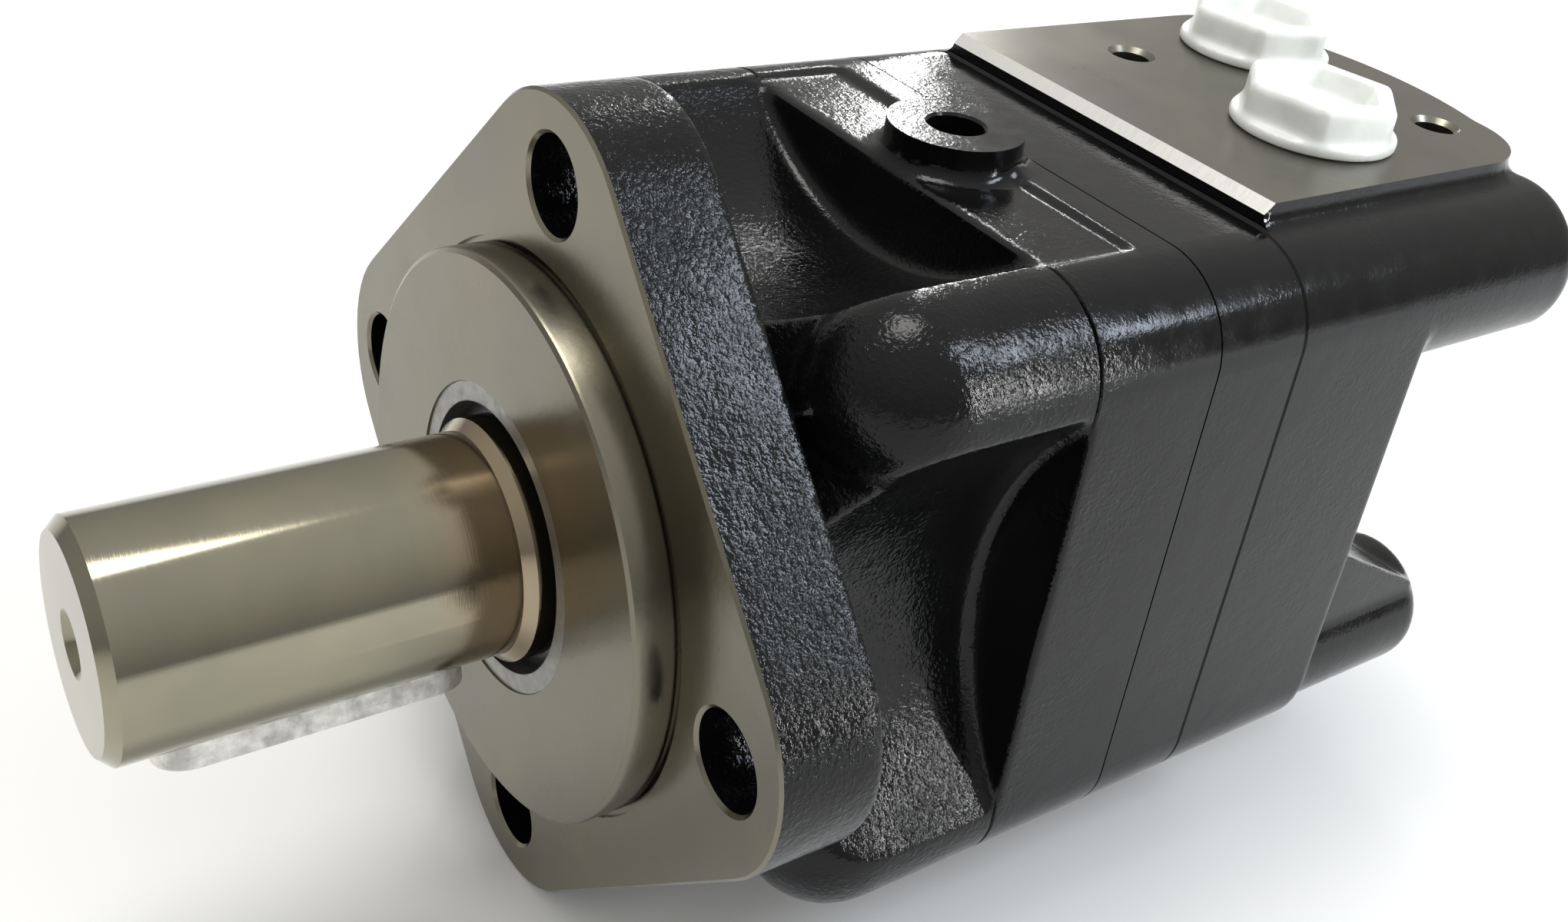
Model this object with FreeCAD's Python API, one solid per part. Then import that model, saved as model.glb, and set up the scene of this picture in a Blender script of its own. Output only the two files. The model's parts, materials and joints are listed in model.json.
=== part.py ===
import FreeCAD, Part
import math
import os

# Disc-valve orbital hydraulic motor, in millimetres.
# Origin: centre of the mounting face, on the shaft axis.
# The shaft points along -Y, the body runs along +Y and the ports look up, along +Z.

# --- mounting flange and output shaft ---
FLANGE_HALF = 52.3        # from the axis to a straight side of the flange
FLANGE_CORNER_R = 21.0
FLANGE_THICK = 15.5
FLANGE_PCD = 106.4
FLANGE_HOLE_R = 6.75
PILOT_R = 41.25
PILOT_HEIGHT = 6.0
SHAFT_R = 16.0
SHAFT_END_Y = -61.0
SEAL_LAND_R = 17.5
KEY_WIDTH, KEY_HEIGHT, KEY_LENGTH = 10.0, 8.0, 42.0
KEY_FROM_END = 7.1
KEY_TURN_DEG = 13.0       # from straight down towards +X, at rest
KEY_SEAT_DEPTH = 5.0

# --- body sections along Y ---
FRONT_PLATE_Y = 54.5      # front face of the housing's rear flange
RING_Y0 = 77.5
RING_THICK = 17.4
RING_Y1 = RING_Y0 + RING_THICK
BODY_HALF = 50.5          # half width of the square body
CORNER_R = 14.0
CORNER_C = BODY_HALF - CORNER_R
BARREL_R = 36.0
POST_DOME_Y = 33.0        # centre of the ball that ends a corner post
SCOOP_R, SCOOP_FLOOR = 49.5, 36.0   # hollow side between two posts: its radius, its floor from the axis
PLATE_TOP_Z = 49.7        # shallow cast step on top of the housing's rear flange
PLATE_STEP_HALF_X, PLATE_STEP_Y = 36.0, 71.0
BLOCK_END_Y = 127.0       # rear face of the square block
LOWER_LUG_R = 12.5
UPPER_LUG_END_Y = 167.0
UPPER_LUG_FLOOR_Z = 27.7
LOWER_LUG_END_Y = 163.0
WAIST_Y, WAIST_DEPTH = 99.0, 6.0   # the underside is cast shallower behind the gear ring
CORE_R = 36.0

# --- port pad ---
PAD_Z = 54.2
PAD_HALF_X = 36.8
PAD_Y0, PAD_Y1 = 95.6, 171.0
PORT_A = (16.5, 129.1)
PORT_B = (-17.0, 151.6)
PORT_R = 9.5              # G 1/2 tapping size
PORT_DEPTH = 17.0
PLUG_STEM = 7.5           # length of a transport plug's stem
PAD_SCREWS = ((-21.0, 123.9), (21.0, 156.9))
PAD_SCREW_R = 3.4         # M8 tapping size

# --- drain port ---
DRAIN_Y = 66.5
DRAIN_BOSS_R = 10.6
DRAIN_TOP_Z = 55.0
DRAIN_R = 4.4             # G 1/8 tapping size
DRAIN_DEPTH = 12.5
DRAIN_LEAD_Y = 69.5       # small hole from the drain port into the shaft space

# --- gear set ---
PIN_PITCH_R = 33.0
PIN_R = 6.5
PIN_COUNT = 7
LOBES = PIN_COUNT - 1
ECCENTRICITY = 2.6
RING_BORE_R = 32.7
RUN = 0.05                # running clearance
PLATE_R = 41.5
PLATE_THICK = 6.5

# --- bearings: seat radius, outer radius, front face, width ---
FRONT_BEARING = (17.5, 31.0, 12.0, 18.0)
REAR_BEARING = (18.5, 32.5, 44.0, 19.0)
SEAL_BORE_R = 22.5
COLLAR_R = 22.0
SHAFT_INNER_END_Y = 66.0
NUT_THICK = 5.0

# --- drive splines ---
SPLINE_TEETH = 12
SHAFT_SPLINE = (10.4, 12.6)        # root and tip radius of the shaft's and rotor's inner teeth
CARDAN_SPLINE = (9.6, 11.9)
VALVE_SPLINE = (6.9, 8.9)
DRIVE_SPLINE = (6.0, 8.0)
CARDAN_FRONT_Y, CARDAN_REAR_Y = 31.0, 82.4
DRIVE_FRONT_Y, DRIVE_REAR_Y = 90.9, 107.5

# --- disc valve and balance plate ---
CHAMBER_R = 30.0
CHAMBER_END_Y = 124.0
VALVE_R = 27.0
VALVE_Y0 = RING_Y1 + PLATE_THICK + RUN
VALVE_THICK = 10.5
BALANCE_BOSS_R = 15.9
BALANCE_BORE_R = 16.0
BALANCE_BORE_END_Y = 142.0

# --- case bolts, M10 ---
BOLT_R = 4.95
BOLT_HOLE_R = 5.3
BOLT_TAP_R = 5.0
BOLT_C = 38.0             # from each centre plane to a bolt
BOLT_SEAT_Y = 150.0
BOLT_TIP_Y = 46.0
BOLT_HEAD_R, BOLT_HEAD_HEIGHT = 8.0, 10.0
BOLT_WELL_R = 8.8

# --- ball checks in the rear housing ---
CHECK_X = 44.0
CHECK_BORE_R = 2.8
CHECK_BALL_R = 2.6
CHECK_BALL_Y = 116.0
CHECK_PLUG_Y = 120.0

Y_AXIS = FreeCAD.Vector(0, 1, 0)
Z_AXIS = FreeCAD.Vector(0, 0, 1)
ORIGIN = FreeCAD.Vector(0, 0, 0)
BOLTS = [(sx * BOLT_C, sz * BOLT_C) for sx in (1, -1) for sz in (1, -1)]


def vec(x, y, z):
    return FreeCAD.Vector(x, y, z)


def cyl_y(radius, y0, y1, x=0.0, z=0.0):
    return Part.makeCylinder(radius, y1 - y0, vec(x, y0, z), Y_AXIS)


def cyl_z(radius, z0, z1, x, y):
    return Part.makeCylinder(radius, z1 - z0, vec(x, y, z0), Z_AXIS)


def box(x0, x1, y0, y1, z0, z1):
    return Part.makeBox(x1 - x0, y1 - y0, z1 - z0, vec(x0, y0, z0))


def rod(radius, start, end):
    run = end - start
    return Part.makeCylinder(radius, run.Length, start, run)


def turned(profile):
    """A solid of revolution about the shaft axis from (y, radius) corners."""
    points = [vec(radius, y, 0) for y, radius in profile]
    face = Part.Face(Part.makePolygon(points + points[:1]))
    return face.revolve(ORIGIN, Y_AXIS, 360)


def rounded_square(half, radius, y0, y1):
    """A square bar along Y with round corners."""
    inner = half - radius
    bars = [box(-half, half, y0, y1, -inner, inner), box(-inner, inner, y0, y1, -half, half)]
    corners = [cyl_y(radius, y0, y1, sx * inner, sz * inner) for sx in (1, -1) for sz in (1, -1)]
    return bars[0].multiFuse(bars[1:] + corners).removeSplitter()


def around_axis(shape, count, offset_deg=0.0):
    """Copies of a shape, evenly spaced about the shaft axis."""
    copies = []
    for i in range(count):
        copy = shape.copy()
        copy.rotate(ORIGIN, Y_AXIS, offset_deg + 360.0 * i / count)
        copies.append(copy)
    return copies


def arc_edges(shape, radius, y, limit=0.01):
    """Circular edges of the given radius that lie in the plane at y."""
    return [e for e in shape.Edges
            if isinstance(e.Curve, Part.Circle) and abs(e.Curve.Radius - radius) < limit
            and abs(e.CenterOfMass.y - y) < limit]


def star(teeth, root_r, tip_r, y0, y1, thinned=0.0):
    """A toothed bar along Y with straight-sided teeth, for splines; thinned is a share of the pitch."""
    points = []
    step = 2 * math.pi / teeth
    root, tip = 0.30 - thinned, 0.17 - thinned
    for i in range(teeth):
        for share, radius in ((-root, root_r), (-tip, tip_r), (tip, tip_r), (root, root_r)):
            angle = (i + share) * step
            points.append(vec(radius * math.cos(angle), y0, radius * math.sin(angle)))
    face = Part.Face(Part.makePolygon(points + points[:1]))
    return face.extrude(vec(0, y1 - y0, 0))


def hexagon(across_flats, z0, z1, x, y, turn_deg=0.0):
    radius = across_flats / math.sqrt(3)
    points = []
    for i in range(6):
        angle = math.radians(60 * i + turn_deg)
        points.append(vec(x + radius * math.cos(angle), y + radius * math.sin(angle), z0))
    face = Part.Face(Part.makePolygon(points + points[:1]))
    return face.extrude(vec(0, 0, z1 - z0))


def hexagon_y(across_flats, y0, y1, x, z):
    radius = across_flats / math.sqrt(3)
    points = []
    for i in range(6):
        angle = math.radians(60 * i)
        points.append(vec(x + radius * math.cos(angle), y0, z + radius * math.sin(angle)))
    face = Part.Face(Part.makePolygon(points + points[:1]))
    return face.extrude(vec(0, y1 - y0, 0))


# ---------------------------------------------------------------- castings

def flange():
    """Square flange standing on one corner, with a light chamfer on the front edge."""
    plate = rounded_square(FLANGE_HALF, FLANGE_CORNER_R, 0, FLANGE_THICK)
    front = [e for e in plate.Edges if abs(e.CenterOfMass.y) < 0.01 and e.BoundBox.YLength < 0.01]
    plate = plate.makeChamfer(0.6, front)
    plate.rotate(ORIGIN, Y_AXIS, 45)
    return plate


def front_post():
    """One corner post, on +X +Z: a domed bar tied to the barrel by a web as wide as itself."""
    reach = CORNER_C * math.sqrt(2)
    bar = cyl_y(CORNER_R, POST_DOME_Y, FRONT_PLATE_Y + 1, reach, 0)
    dome = Part.makeSphere(CORNER_R, vec(reach, POST_DOME_Y, 0))
    web = box(20, reach, POST_DOME_Y, FRONT_PLATE_Y + 1, -CORNER_R, CORNER_R)
    web_nose = Part.makeCylinder(CORNER_R, reach - 20, vec(20, POST_DOME_Y, 0), vec(1, 0, 0))
    post = bar.multiFuse([dome, web, web_nose])
    post.rotate(ORIGIN, Y_AXIS, -45)
    return post


def waisted_body():
    """Square body and its posts between the flanges, sloped off at the front, its four sides hollow."""
    block = rounded_square(BODY_HALF, CORNER_R, FLANGE_THICK, FRONT_PLATE_Y + 1)
    shoulder = turned([(FLANGE_THICK, 0), (FLANGE_THICK, 42), (40, 66.5), (60, 66.5), (60, 0)])
    scoop = cyl_y(SCOOP_R, FLANGE_THICK - 2, FRONT_PLATE_Y, SCOOP_FLOOR + SCOOP_R, 0)
    body = block.common(shoulder).multiFuse(around_axis(front_post(), 4))
    return body.cut(around_axis(scoop, 4))


def front_housing():
    pilot = turned([(0, 0), (-PILOT_HEIGHT, 0), (-PILOT_HEIGHT, PILOT_R - 0.8),
                    (-PILOT_HEIGHT + 0.8, PILOT_R), (0, PILOT_R)])
    barrel = cyl_y(BARREL_R, 0, RING_Y0)
    rear_plate = rounded_square(BODY_HALF, CORNER_R, FRONT_PLATE_Y, RING_Y0)
    boss = cyl_z(DRAIN_BOSS_R, 30, DRAIN_TOP_Z, 0, DRAIN_Y)
    step = box(-PLATE_STEP_HALF_X, PLATE_STEP_HALF_X, FRONT_PLATE_Y - 1, PLATE_STEP_Y, PLATE_TOP_Z, 60)
    rear_plate = rear_plate.cut(step)
    solid = flange().multiFuse([pilot, barrel, rear_plate, waisted_body().cut(step), boss])

    relief = turned([(-0.01, PILOT_R - 0.7), (-0.01, PILOT_R + 0.9), (0.7, PILOT_R + 0.9),
                     (0.7, PILOT_R - 0.7)])
    seat_r, cup_r, bearing_y, width = FRONT_BEARING
    rear_cup_r, rear_y, rear_width = REAR_BEARING[1:]
    plate_y = RING_Y0 - PLATE_THICK
    cavity = turned([
        (-PILOT_HEIGHT - 1, 0), (-PILOT_HEIGHT - 1, SEAL_BORE_R), (9, SEAL_BORE_R),
        (9, cup_r - 3.5), (bearing_y, cup_r - 3.5), (bearing_y, cup_r),
        (bearing_y + width, cup_r), (bearing_y + width, cup_r - 2.5),
        (rear_y - 1, cup_r - 2.5), (rear_y - 1, rear_cup_r), (plate_y, rear_cup_r),
        (plate_y, PLATE_R + RUN), (RING_Y0 + 1, PLATE_R + RUN), (RING_Y0 + 1, 0)])
    cuts = [relief, cavity, seal_groove(RING_Y0, -1)]
    hole = cyl_y(FLANGE_HOLE_R, -1, FLANGE_THICK + 1, FLANGE_PCD / 2, 0)
    cuts += around_axis(hole, 4)
    cuts += [cyl_y(BOLT_TAP_R, BOLT_TIP_Y - 3, RING_Y0 + 1, x, z) for x, z in BOLTS]
    cuts.append(cyl_z(DRAIN_R, DRAIN_TOP_Z - DRAIN_DEPTH, DRAIN_TOP_Z + 1, 0, DRAIN_Y))
    cuts.append(cyl_z(1.3, rear_cup_r - 3, DRAIN_TOP_Z - DRAIN_DEPTH + 1, 0, DRAIN_LEAD_Y))
    cuts.append(Part.makeCone(DRAIN_R, DRAIN_R + 0.4, 0.4, vec(0, DRAIN_Y, DRAIN_TOP_Z - 0.4), Z_AXIS))
    return solid.cut(cuts).removeSplitter()


def seal_groove(face_y, side):
    """The face groove of a case O-ring, cut from face_y into the part on the given side."""
    y0, y1 = sorted((face_y - side * 0.01, face_y + side * 1.5))
    return cyl_y(45.4, y0, y1).cut(cyl_y(43.2, y0 - 1, y1 + 1))


def case_o_ring(face_y, side):
    ring = Part.makeTorus(44.3, 0.74, ORIGIN, Y_AXIS)
    ring.translate(vec(0, face_y + side * 0.75, 0))
    return ring


def gear_ring():
    solid = rounded_square(BODY_HALF, CORNER_R, RING_Y0, RING_Y1)
    cuts = [cyl_y(RING_BORE_R, RING_Y0 - 1, RING_Y1 + 1)]
    cuts += [cyl_y(PIN_R + RUN, RING_Y0 - 1, RING_Y1 + 1, x, z) for x, z in pin_places()]
    cuts += [cyl_y(BOLT_HOLE_R, RING_Y0 - 1, RING_Y1 + 1, x, z) for x, z in BOLTS]
    return solid.cut(cuts)


def rear_upper_block():
    """The port block above the valve chamber: the milled pad and a flat-bottomed lug along each side."""
    pad = box(-PAD_HALF_X, PAD_HALF_X, PAD_Y0, PAD_Y1 - 4, 24, PAD_Z)
    upright = [e for e in pad.Edges if e.BoundBox.ZLength > 20 and e.CenterOfMass.y > PAD_Y0 + 1]
    pad = pad.makeFillet(15, upright)
    nose = cyl_z(62, 24, PAD_Z, 0, PAD_Y1 - 62).common(box(-24, 24, 150, PAD_Y1 + 1, 20, PAD_Z + 1))
    lugs = []
    for side in (1, -1):
        lug = cyl_y(CORNER_R, RING_Y1, UPPER_LUG_END_Y, side * CORNER_C, CORNER_C)
        lug = lug.makeFillet(5, arc_edges(lug, CORNER_R, UPPER_LUG_END_Y))
        under = box(-60, 60, BLOCK_END_Y, UPPER_LUG_END_Y + 1, 0, UPPER_LUG_FLOOR_Z)
        lugs.append(lug.cut(under))
    return pad.multiFuse([nose] + lugs)


def rear_core():
    """The round back of the valve chamber and the wedge that ties it to the port block."""
    core = turned([(RING_Y1, 0), (RING_Y1, CORE_R), (134, CORE_R), (140, CORE_R - 4),
                   (146, 22), (147.5, 12), (147.5, 0)])
    outline = [(125, -12), (144, -12), (150, 5), (164, 30), (164, 40), (125, 40)]
    points = [vec(-20, y, z) for y, z in outline]
    wedge = Part.Face(Part.makePolygon(points + points[:1])).extrude(vec(40, 0, 0))
    return core.fuse(wedge)


def lower_lug(side):
    """Bolt lug below the valve chamber, with a sloping gusset on its top."""
    lug = cyl_y(LOWER_LUG_R, RING_Y1, LOWER_LUG_END_Y, side * CORNER_C, -CORNER_C)
    lug = lug.makeFillet(5, arc_edges(lug, LOWER_LUG_R, LOWER_LUG_END_Y))
    outline = [(110, -10), (BLOCK_END_Y, -10), (159, -27), (159, -37), (110, -37)]
    points = [vec(side * 28, y, z) for y, z in outline]
    gusset = Part.Face(Part.makePolygon(points + points[:1])).extrude(vec(side * 18.5, 0, 0))
    return lug.fuse(gusset)


def waist():
    """What is left out below the square block: deepest behind the gear ring, nothing at its rear."""
    low = -BODY_HALF - 8
    outline = [(WAIST_Y, low), (WAIST_Y, WAIST_DEPTH - BODY_HALF), (BLOCK_END_Y, -BODY_HALF - 0.5),
               (BLOCK_END_Y, low)]
    points = [vec(-60, y, z) for y, z in outline]
    return Part.Face(Part.makePolygon(points + points[:1])).extrude(vec(120, 0, 0))


def rear_housing():
    block = rounded_square(BODY_HALF, CORNER_R, RING_Y1, BLOCK_END_Y)
    rear = [e for e in block.Edges
            if abs(e.CenterOfMass.y - BLOCK_END_Y) < 0.01 and e.BoundBox.YLength < 0.01]
    block = block.makeFillet(2.5, rear).cut(waist())
    solid = block.multiFuse([rear_upper_block(), rear_core(), lower_lug(1), lower_lug(-1)])

    scoop = Part.makeCylinder(60, 60, vec(0, WAIST_Y, -BODY_HALF - 52), Y_AXIS)
    chamber = turned([
        (RING_Y1 - 1, 0), (RING_Y1 - 1, PLATE_R + RUN), (RING_Y1 + PLATE_THICK, PLATE_R + RUN),
        (RING_Y1 + PLATE_THICK, CHAMBER_R), (CHAMBER_END_Y, CHAMBER_R),
        (CHAMBER_END_Y, BALANCE_BORE_R), (BALANCE_BORE_END_Y, BALANCE_BORE_R),
        (BALANCE_BORE_END_Y, 0)])
    cuts = [scoop, chamber, seal_groove(RING_Y1, 1)]
    for x, z in BOLTS:
        cuts.append(cyl_y(BOLT_HOLE_R, RING_Y1 - 1, BOLT_SEAT_Y + 1, x, z))
        cuts.append(cyl_y(BOLT_WELL_R, BOLT_SEAT_Y, UPPER_LUG_END_Y + 1, x, z))
    for x, y in (PORT_A, PORT_B):
        cuts.append(cyl_z(PORT_R, PAD_Z - PORT_DEPTH, PAD_Z + 1, x, y))
        cuts.append(Part.makeCone(PORT_R, PORT_R + 1.2, 1.2, vec(x, y, PAD_Z - 1.2), Z_AXIS))
        cuts.append(cyl_z(PORT_R + 0.4, PAD_Z - PLUG_STEM - 1.2, PAD_Z - PLUG_STEM - 0.4, x, y))
    port_floor = PAD_Z - PORT_DEPTH + 1
    cuts.append(rod(5.5, vec(PORT_A[0], PORT_A[1], port_floor), vec(8, 116, 24)))
    cuts.append(rod(5.5, vec(PORT_B[0], PORT_B[1], port_floor), vec(0, 138, 0)))
    for x, y in PAD_SCREWS:
        cuts.append(cyl_z(PAD_SCREW_R, PAD_Z - 15, PAD_Z + 1, x, y))
        cuts.append(Part.makeCone(PAD_SCREW_R, PAD_SCREW_R + 0.9, 0.9, vec(x, y, PAD_Z - 0.9), Z_AXIS))
    for side in (1, -1):
        x = side * CHECK_X
        cuts.append(cyl_y(CHECK_BORE_R, CHECK_BALL_Y - 2.6, BLOCK_END_Y + 1, x, 0))
        cuts.append(cyl_y(4.0, CHECK_PLUG_Y, BLOCK_END_Y + 1, x, 0))
        cuts.append(rod(1.6, vec(side * 28, CHECK_BALL_Y - 3.4, 0), vec(x, CHECK_BALL_Y - 3.4, 0)))
        cuts.append(cyl_y(1.6, CHECK_BALL_Y - 5.0, CHECK_BALL_Y, x, 0))
    return solid.cut(cuts).removeSplitter()


# ---------------------------------------------------------------- gear set

def pin_places():
    places = []
    for i in range(PIN_COUNT):
        angle = 2 * math.pi * i / PIN_COUNT
        places.append((PIN_PITCH_R * math.cos(angle), PIN_PITCH_R * math.sin(angle)))
    return places


def geroler_roller(x, z):
    roller = cyl_y(PIN_R, RING_Y0 + RUN, RING_Y1 - RUN, x, z)
    return roller.makeChamfer(0.3, arc_edges(roller, PIN_R, RING_Y0 + RUN)
                              + arc_edges(roller, PIN_R, RING_Y1 - RUN))


def rotor():
    """Six-lobed rotor: the path of a pin's centre in the rotor, moved inward by the pin's radius."""
    offset = PIN_R + RUN
    ripple = PIN_COUNT * ECCENTRICITY
    points = []
    steps = LOBES * 16
    for i in range(steps):
        a = 2 * math.pi * i / steps
        x = PIN_PITCH_R * math.cos(a) - ECCENTRICITY * math.cos(PIN_COUNT * a)
        z = PIN_PITCH_R * math.sin(a) - ECCENTRICITY * math.sin(PIN_COUNT * a)
        dx = -PIN_PITCH_R * math.sin(a) + ripple * math.sin(PIN_COUNT * a)
        dz = PIN_PITCH_R * math.cos(a) - ripple * math.cos(PIN_COUNT * a)
        length = math.hypot(dx, dz)
        points.append(vec(ECCENTRICITY + x - offset * dz / length, RING_Y0 + RUN,
                          z + offset * dx / length))
    curve = Part.BSplineCurve()
    curve.interpolate(Points=points, PeriodicFlag=True)
    face = Part.Face(Part.Wire(curve.toShape()))
    solid = face.extrude(vec(0, RING_THICK - 2 * RUN, 0))
    bore = star(SPLINE_TEETH, SHAFT_SPLINE[0], SHAFT_SPLINE[1], RING_Y0 - 1, RING_Y1 + 1)
    bore.translate(vec(ECCENTRICITY, 0, 0))
    return solid.cut(bore)


def wear_plate():
    plate = cyl_y(PLATE_R, RING_Y0 - PLATE_THICK, RING_Y0)
    return plate.cut(cyl_y(16.5, 0, RING_Y1))


def channel_plate():
    """Plate between the gear set and the disc valve, with one oil channel for each gear chamber."""
    y0, y1 = RING_Y1, RING_Y1 + PLATE_THICK
    plate = cyl_y(PLATE_R, y0, y1)
    channel = cyl_y(2.3, y0 - 1, y1 + 1, 23.0, 0)
    half_step = 180.0 / PIN_COUNT
    cuts = [cyl_y(11.5, y0 - 1, y1 + 1)] + around_axis(channel, PIN_COUNT, half_step)
    cuts += [cyl_y(1.6, y0 - 1, y0 + 4, x, 0) for x in (38.0, -38.0)]
    return plate.cut(cuts)


# ---------------------------------------------------------------- shaft line

def output_shaft():
    seat_r, cup_r, bearing_y, width = FRONT_BEARING
    rear_seat_r, rear_cup_r, rear_y, rear_width = REAR_BEARING
    solid = turned([
        (SHAFT_END_Y, 0), (SHAFT_END_Y, SHAFT_R - 1.6), (SHAFT_END_Y + 1.6, SHAFT_R),
        (-8.6, SHAFT_R), (-7.1, SEAL_LAND_R), (bearing_y + width, seat_r),
        (bearing_y + width, COLLAR_R), (rear_y, COLLAR_R), (rear_y, rear_seat_r),
        (SHAFT_INNER_END_Y, rear_seat_r), (SHAFT_INNER_END_Y, 0)])
    thread = Part.makeCylinder(3.4, 24, vec(0, SHAFT_END_Y - 0.01, 0), Y_AXIS)
    centre = Part.makeCone(4.6, 3.4, 1.2, vec(0, SHAFT_END_Y - 0.01, 0), Y_AXIS)
    socket = star(SPLINE_TEETH, SHAFT_SPLINE[0], SHAFT_SPLINE[1], 20, 42)
    mouth = Part.makeCone(13.2, 16.2, SHAFT_INNER_END_Y - 41, vec(0, 42, 0), Y_AXIS)
    return solid.cut([thread, centre, socket, mouth, shaft_key()])


def shaft_key():
    """Round-ended key in the underside of the shaft."""
    y0 = SHAFT_END_Y + KEY_FROM_END
    half = KEY_WIDTH / 2
    floor = -SHAFT_R + KEY_SEAT_DEPTH
    bar = box(-half, half, y0 + half, y0 + KEY_LENGTH - half, floor - KEY_HEIGHT, floor)
    ends = [cyl_z(half, floor - KEY_HEIGHT, floor, 0, y)
            for y in (y0 + half, y0 + KEY_LENGTH - half)]
    key = bar.multiFuse(ends).removeSplitter()
    key.rotate(ORIGIN, Y_AXIS, -KEY_TURN_DEG)
    return key


def dust_seal():
    return turned([(-PILOT_HEIGHT + 0.3, 19.7), (-PILOT_HEIGHT + 0.3, SEAL_BORE_R), (-1.2, SEAL_BORE_R),
                   (-1.2, 18.4), (-2.6, SEAL_LAND_R + RUN), (-3.4, SEAL_LAND_R + RUN), (-2.8, 19.7)])


def seal_backup_washer():
    return turned([(-1.1, SEAL_LAND_R + 0.4), (-1.1, SEAL_BORE_R), (0.6, SEAL_BORE_R),
                   (0.6, SEAL_LAND_R + 0.4)])


def shaft_seal():
    return turned([(0.7, 19.5), (0.7, SEAL_BORE_R), (8.5, SEAL_BORE_R), (8.5, 21.0), (3.4, 21.0),
                   (4.2, SEAL_LAND_R + RUN), (3.0, SEAL_LAND_R + RUN)])


def bearing_cones(bearing):
    """Slopes of the raceways: both meet at one point of the shaft axis, so the rollers roll true."""
    seat_r, cup_r = bearing[0], bearing[1]
    outer = math.radians(14.0)
    apex = (cup_r - 3.6) / math.tan(outer)
    inner = math.atan((seat_r + 4.0) / apex)
    return apex, inner, outer


def race_radius(slope, apex, distance):
    """Radius of a raceway at a distance behind the bearing's middle."""
    return math.tan(slope) * (apex + distance)


def bearing_parts(bearing, direction, roller_count):
    """Outer race, inner race, cage and rollers. direction +1 puts the wide end of the cones rearward."""
    seat_r, cup_r, y0, width = bearing
    apex, inner, outer = bearing_cones(bearing)
    middle = y0 + width / 2
    half = width / 2

    def at(distance):
        return middle + direction * distance

    outer_race = turned([(at(-half), race_radius(outer, apex, -half)), (at(-half), cup_r),
                         (at(half - 3), cup_r), (at(half - 3), race_radius(outer, apex, half - 3))])
    reach = half - 2.2
    inner_race = turned([
        (at(-half + 2), seat_r), (at(-half + 2), race_radius(inner, apex, -half + 2)),
        (at(reach), race_radius(inner, apex, reach)), (at(reach), race_radius(inner, apex, reach) + 2),
        (at(half), race_radius(inner, apex, reach) + 2), (at(half), seat_r)])

    tilt = (inner + outer) / 2
    spread = (outer - inner) / 2
    start, end = apex - half + 3.2, apex + reach - 1.2
    small = math.sin(spread) * start / math.cos(tilt) - 0.03
    large = math.sin(spread) * end / math.cos(tilt) - 0.03
    run = (end - start) / math.cos(tilt)
    base = vec(start * math.tan(tilt), at(start - apex), 0)
    along = vec(math.sin(tilt), direction * math.cos(tilt), 0)
    roller = Part.makeCone(small, large, run, base, along)
    rollers = around_axis(roller, roller_count)

    d0, d1 = -half + 1.4, reach + 0.6
    mid = [math.tan(tilt) * (apex + d) for d in (d0, d1)]
    cage = turned([(at(d0), mid[0] - 0.5), (at(d0), mid[0] + 0.7), (at(d1), mid[1] + 0.7),
                   (at(d1), mid[1] - 0.5)])
    pocket = Part.makeCone(small + 0.25, large + 0.25, run + 0.6,
                           base - along * 0.3, along)
    cage = cage.cut(around_axis(pocket, roller_count))
    return outer_race, inner_race, cage, Part.makeCompound(rollers)


def bearing_nut():
    """Threaded ring that clamps the rear bearing's outer race, with four spanner slots."""
    rear_cup_r, rear_y, rear_width = REAR_BEARING[1:]
    y0 = rear_y + rear_width
    ring = cyl_y(rear_cup_r - 0.05, y0, y0 + NUT_THICK).cut(cyl_y(26.5, y0 - 1, y0 + NUT_THICK + 1))
    slot = box(25, 31, y0 + NUT_THICK - 3, y0 + NUT_THICK + 1, -2.5, 2.5)
    return ring.cut(around_axis(slot, 4, 45))


# ---------------------------------------------------------------- drive train

def tilted(front_y, rear_y, front_x, rear_x, shape):
    """Put a shape made along Y from the origin onto the line between two points on the X-Y plane."""
    angle = math.degrees(math.atan2(rear_x - front_x, rear_y - front_y))
    shape.rotate(ORIGIN, Z_AXIS, -angle)
    shape.translate(vec(front_x, front_y, 0))
    return shape


def spline_head(spline, centre_y, length):
    """Toothed head with rounded flanks, so that it can tilt in its socket."""
    root_r, tip_r = spline
    half = length / 2
    head = star(SPLINE_TEETH, root_r, tip_r, centre_y - half, centre_y + half, 0.07)
    crown = turned([(centre_y - half, 0), (centre_y - half, tip_r - 0.8),
                    (centre_y - half * 0.4, tip_r), (centre_y + half * 0.4, tip_r),
                    (centre_y + half, tip_r - 0.8), (centre_y + half, 0)])
    return head.common(crown)


def cardan_shaft():
    length = math.hypot(CARDAN_REAR_Y - CARDAN_FRONT_Y, ECCENTRICITY)
    bar = turned([(-6, 0), (-6, 8.6), (8, 8.6), (14, 7.4), (length - 14, 7.4), (length - 7, 8.6),
                  (length + 2.9, 8.6), (length + 2.9, 0)])
    heads = [spline_head(CARDAN_SPLINE, 0, 10), spline_head(CARDAN_SPLINE, length, 5.6)]
    solid = bar.multiFuse(heads)
    return tilted(CARDAN_FRONT_Y, CARDAN_REAR_Y, 0, ECCENTRICITY, solid)


def cardan_spacer():
    return cyl_y(7.5, 86.2, 87.2, ECCENTRICITY, 0)


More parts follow.
